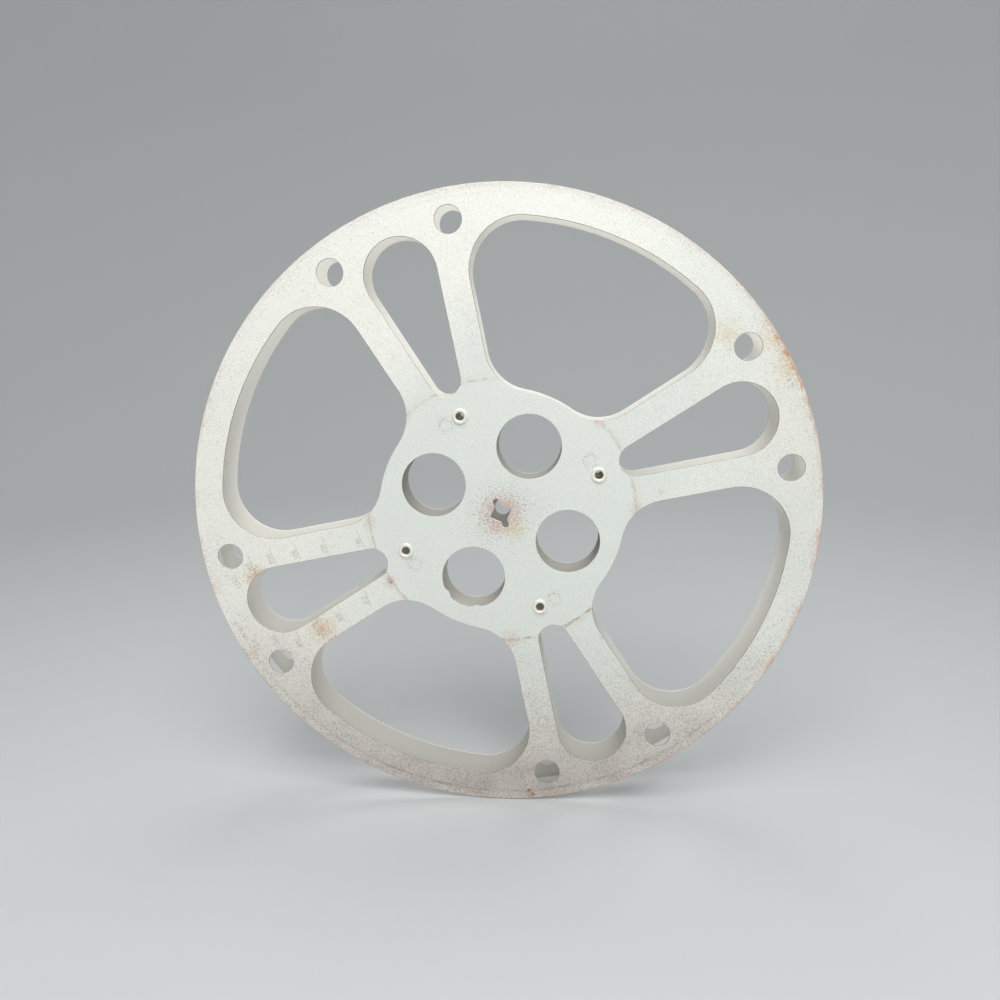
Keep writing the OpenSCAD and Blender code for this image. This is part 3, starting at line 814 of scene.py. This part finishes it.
class REEL_OT_eyelets(bpy.types.Operator):
    """Make the rolled eyelets that hold the flanges to the core"""

    bl_idname = "reel.eyelets"
    bl_label = "Eyelets"

    def execute(self, context):
        plating = dulled_tin()
        for side, nodes in EYELETS.items():
            for node in nodes:
                self.roll(context.scene.reel_sizes, node, side, plating)
        return {"FINISHED"}

    def roll(self, sizes, node, side, plating):
        """Spin one eyelet's section about its axis, and put it where its node is."""
        low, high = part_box(node)
        bore = sizes.eyelet_bore / 2
        shank = bore + sizes.eyelet_wall
        head = (high.x - low.x) / 2
        head_top = max(abs(low.y), abs(high.y)) - HUB_FACE
        set_end = sizes.eyelet_set / 2
        set_top = HUB_FACE - sizes.eyelet_grip - min(abs(low.y), abs(high.y))
        grip = -sizes.eyelet_grip
        corners = (
            (bore, head_top), (head, head_top), (head, 0), (shank, 0), (shank, grip), (set_end, grip),
            (set_end, grip - set_top), (bore, grip - set_top))
        bm = bmesh.new()
        verts = [bm.verts.new((out, 0, up)) for out, up in corners]
        for i in range(len(verts)):
            bm.edges.new((verts[i - 1], verts[i]))

        # The corners of both ends are rolled over nearly all of the end's height
        rolled = [verts[0], verts[1], verts[6], verts[7]]
        rolled_share = 0.96
        bmesh.ops.bevel(
            bm, geom=rolled, offset=rolled_share * min(head_top, set_top), offset_type="OFFSET", segments=8,
            profile=0.5, affect="VERTICES", clamp_overlap=True, material=-1)
        bmesh.ops.spin(
            bm, geom=bm.verts[:] + bm.edges[:], cent=(0, 0, 0), axis=(0, 0, 1), angle=math.tau, steps=48,
            use_merge=True)
        bmesh.ops.remove_doubles(bm, verts=bm.verts, dist=MERGE)
        bmesh.ops.recalc_face_normals(bm, faces=bm.faces)
        outward = QUARTER_TURN if side == "front" else -QUARTER_TURN
        middle = (low + high) / 2
        face = -HUB_FACE if side == "front" else HUB_FACE
        place = Matrix.Translation((middle.x, face, middle.z)) @ Matrix.Rotation(outward, 4, "X")
        bmesh.ops.transform(bm, matrix=place, verts=bm.verts)
        piece = new_piece(f"rolled_{node}", bm, plating)
        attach(piece, BODY)
        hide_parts(node)


class REEL_OT_footage_scale(bpy.types.Operator):
    """Print the footage scale on the two arms of the left spoke"""

    bl_idname = "reel.footage_scale"
    bl_label = "Footage scale"

    def execute(self, context):
        sizes = context.scene.reel_sizes
        feet_per_tick, ticks = 100, 12
        wound = feet_per_tick * MM_PER_FOOT * MM * sizes.film_thickness / math.pi
        ink_depth, tick_width = 0.03 * MM, 0.22 * MM
        number_gap, number_inset = 0.6 * MM, 1.2 * MM

        # The slot between the two arms opens by slot_rise as far as slot_out, where its round end begins. The
        # ticks begin at a margin from it, and past slot_out at least_side or more from the spoke's axis
        slot_out, slot_r, slot_rise = 123.7 * MM, 17.7 * MM, 0.19
        margin, least_side = 1.2 * MM, 11 * MM
        bm = bmesh.new()
        for number in range(1, ticks + 1):
            out = math.sqrt(CORE_R ** 2 + number * wound)
            if out < slot_out:
                slot_side = slot_r - (slot_out - out) * slot_rise
            else:
                slot_side = math.sqrt(max(slot_r ** 2 - (out - slot_out) ** 2, 0))
            start = max(slot_side, least_side if out > slot_out else 0) + margin
            above = number % 2 == 1
            side = start + sizes.tick_length / 2
            made = bmesh.ops.create_cube(bm, size=1.0)
            shape = Matrix.Diagonal((tick_width, sizes.tick_length, 2 * ink_depth, 1))
            spot = Matrix.Translation((-out, side if above else -side, 0))
            bmesh.ops.transform(bm, matrix=spot @ shape, verts=made["verts"])
            foot = start if above else -start - sizes.tick_length
            spot = Matrix.Translation((-out - number_gap, foot + number_inset, 0))
            self.print_number(bm, str(number * feet_per_tick), spot, sizes.digit_size, ink_depth)
        upright = Matrix.Rotation(-SPOKE_TURN, 4, "Y") @ Matrix.Rotation(QUARTER_TURN, 4, "X")
        bmesh.ops.transform(bm, matrix=Matrix.Translation((0, -HUB_FACE, 0)) @ upright, verts=bm.verts)
        for vert in bm.verts:
            past_bend = math.hypot(vert.co.x, vert.co.z) - BEND_R * MM
            vert.co.y -= max(past_bend, 0) * WEB_LEAN
        piece = new_piece("footage_scale", bm, faded_ink(), smooth=False)
        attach(piece, BODY)
        return {"FINISHED"}

    def print_number(self, bm, words, spot, size, depth):
        """Add a number that runs along its tick, its top towards the rim."""
        thinning = 0.008
        text = bpy.data.curves.new("number", "FONT")
        text.body = words
        text.size = size
        text.extrude = depth
        text.offset = -thinning * size
        text.resolution_u = 3
        holder = bpy.data.objects.new("number", text)
        mesh = bpy.data.meshes.new_from_object(holder)
        mesh.transform(spot @ Matrix.Rotation(QUARTER_TURN, 4, "Z"))
        bm.from_mesh(mesh)
        bpy.data.objects.remove(holder)
        bpy.data.curves.remove(text)
        bpy.data.meshes.remove(mesh)


class REEL_OT_stage(bpy.types.Operator):
    """Set the floor, the lights and the camera"""

    bl_idname = "reel.stage"
    bl_label = "Stage"

    def execute(self, context):
        self.lay_floor()
        self.hang_lights(context.scene)
        self.stand_camera(context.scene)
        context.scene.view_settings.view_transform = "Standard"
        return {"FINISHED"}

    def lay_floor(self):
        """A round floor whose edge sweeps up into a wall, with no corner to see."""
        floor_r, wall_h, sweep = 1.8, 2.0, 0.9
        ground = CAD_BOX[0].z
        bm = bmesh.new()
        corners = [(0, 0), (floor_r, 0), (floor_r, wall_h)]
        verts = [bm.verts.new((out, 0, ground + up)) for out, up in corners]
        for i in range(len(verts) - 1):
            bm.edges.new((verts[i], verts[i + 1]))
        bmesh.ops.bevel(
            bm, geom=[verts[1]], offset=sweep, offset_type="OFFSET", segments=24, profile=0.5,
            affect="VERTICES", clamp_overlap=True, material=-1)
        bmesh.ops.spin(
            bm, geom=bm.verts[:] + bm.edges[:], cent=(0, 0, 0), axis=(0, 0, 1), angle=math.tau, steps=96,
            use_merge=True)
        bmesh.ops.remove_doubles(bm, verts=bm.verts, dist=MERGE)
        bmesh.ops.recalc_face_normals(bm, faces=bm.faces)
        new_piece("studio_floor", bm, studio_paper())

    def hang_lights(self, scene):
        """A lamp above the reel, one before it and one high behind it, and a pale world all round."""
        # Name, place, aim and width in metres, and power in watts
        lamps = (
            ("key_lamp", (0.0, -0.5, 0.75), (0, 0, 0.03), 0.6, 6.7),
            ("fill_lamp", (0.3, -1.05, 0.42), (0, 0, 0), 0.6, 3.1),
            ("rear_lamp", (0.2, 0.75, 1.7), (0, 0.3, 0), 1.0, 10.0),
        )
        for name, place, aim, width, watts in lamps:
            light = bpy.data.lights.new(name, "AREA")
            light.size = width
            light.energy = watts
            lamp = bpy.data.objects.new(name, light)
            lamp.location = place
            lamp.rotation_euler = (Vector(aim) - Vector(place)).to_track_quat("-Z", "Y").to_euler()
            scene.collection.objects.link(lamp)
        air_strength = 0.42
        world = bpy.data.worlds.new("studio_air")
        world.use_nodes = True
        air = world.node_tree.nodes["Background"]
        air.inputs["Color"].default_value = rgba(scene.reel_colours.air)
        air.inputs["Strength"].default_value = air_strength
        scene.world = world

    def stand_camera(self, scene):
        """The camera where the photograph was taken from."""
        place = Vector((27.2, -389.2, 82.95)) * MM
        aim = Vector((-0.97, 0.0, 4.97)) * MM
        roll = math.radians(0.635)
        focal_px, image_px = 784.9, 1000
        camera = bpy.data.objects.new("camera", bpy.data.cameras.new("camera"))
        camera.data.sensor_fit = "HORIZONTAL"
        camera.data.sensor_width = 36
        camera.data.lens = camera.data.sensor_width * focal_px / image_px
        camera.data.clip_start = 10 * MM
        camera.location = place
        camera.rotation_mode = "QUATERNION"
        camera.rotation_quaternion = (aim - place).to_track_quat("-Z", "Y") @ Quaternion((0, 0, 1), -roll)
        scene.collection.objects.link(camera)
        scene.camera = camera


STEPS = (REEL_OT_flanges, REEL_OT_core, REEL_OT_eyelets, REEL_OT_footage_scale, REEL_OT_stage)


class REEL_PT_panel(bpy.types.Panel):
    """Sizes, colours and steps of the film reel"""

    bl_label = "Film reel"
    bl_space_type = "VIEW_3D"
    bl_region_type = "UI"
    bl_category = "Film reel"

    def draw(self, context):
        for group in (context.scene.reel_sizes, context.scene.reel_colours):
            for name in group.bl_rna.properties.keys():
                if name not in ("rna_type", "name"):
                    self.layout.prop(group, name)
        for step in STEPS:
            self.layout.operator(step.bl_idname)


CLASSES = (ReelSizes, ReelColours, *STEPS, REEL_PT_panel)


def register():
    """Add the classes, and the scene's sizes and colours."""
    for cls in CLASSES:
        bpy.utils.register_class(cls)
    bpy.types.Scene.reel_sizes = bpy.props.PointerProperty(type=ReelSizes)
    bpy.types.Scene.reel_colours = bpy.props.PointerProperty(type=ReelColours)


def unregister():
    """Take away what register adds."""
    del bpy.types.Scene.reel_colours
    del bpy.types.Scene.reel_sizes
    for cls in reversed(CLASSES):
        bpy.utils.unregister_class(cls)


def main():
    """Register the classes, and make the pieces in order."""
    register()
    bpy.ops.reel.flanges()
    bpy.ops.reel.core()
    bpy.ops.reel.eyelets()
    bpy.ops.reel.footage_scale()
    bpy.ops.reel.stage()


if __name__ == "__main__":
    main()
